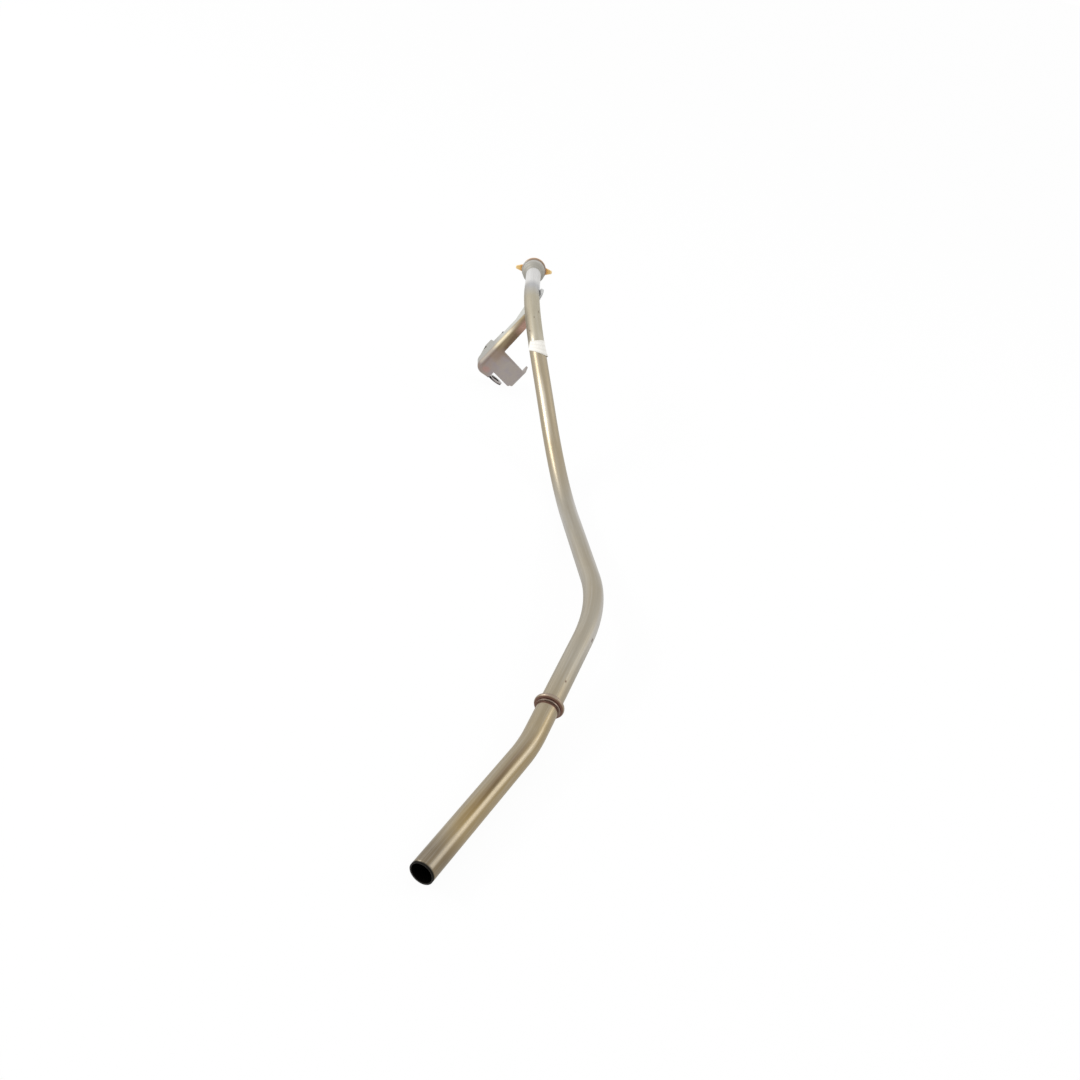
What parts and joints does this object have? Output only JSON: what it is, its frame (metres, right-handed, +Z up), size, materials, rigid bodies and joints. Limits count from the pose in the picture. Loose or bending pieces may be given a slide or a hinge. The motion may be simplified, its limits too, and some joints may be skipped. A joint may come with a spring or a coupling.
{
  "type": "oil dipstick tube",
  "caption": "Long steel oil dipstick guide tube bent in several planes, with an upset bead, belled mouth, yellow mouth insert and welded bracket.",
  "frame": {"origin": "centre of the bounding box's base, on the floor that the tube lies on", "axes": "+Z up, +Y from the open lower end towards the belled mouth, +X to the right when looking along +Y"},
  "size_m": [0.1038, 0.5728, 0.0865],
  "materials": {
    "plated_tube": "satin yellow chromate over zinc, olive-gold to grey",
    "plated_sheet": "satin yellow chromate over zinc, brown to purple with gold folds",
    "yellow_plastic": "satin orange-yellow moulded plastic",
    "paper": "matt ivory paper"
  },
  "bodies": {
    "root": {"guide_tube": "plated_tube", "bracket": "plated_sheet", "mouth_insert": "yellow_plastic", "paper_label": "paper"}
  },
  "joints": []
}
